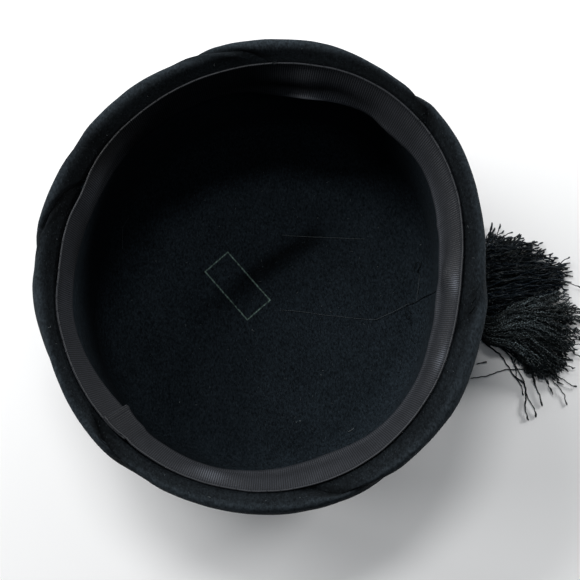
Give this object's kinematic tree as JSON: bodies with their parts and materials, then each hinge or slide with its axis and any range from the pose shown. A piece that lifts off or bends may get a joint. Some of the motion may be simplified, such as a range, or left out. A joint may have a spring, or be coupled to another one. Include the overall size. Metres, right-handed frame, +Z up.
{
  "type": "cocktail hat",
  "caption": "Small round felt hat resting on its crown with the opening up: slanting draped folds around the side, a ribbon sweatband inside and a fanned tassel at one side.",
  "frame": {"origin": "middle of the underside of the crown's tip, which the hat rests on", "axes": "+Z up out of the head opening, +X towards the tassel, +Y a quarter turn from it, within 25 degrees of the opening's long way"},
  "size_m": [0.2573, 0.2033, 0.086],
  "materials": {
    "felt": "matt brushed fur felt",
    "grosgrain": "low sheen, fine cross ribs",
    "rayon": "glossy twisted thread"
  },
  "bodies": {
    "root": {"crown": "felt", "draped_felt": "felt", "sweatband": "grosgrain", "tassel_head": "rayon", "tassel_skirt": "rayon"}
  },
  "joints": []
}
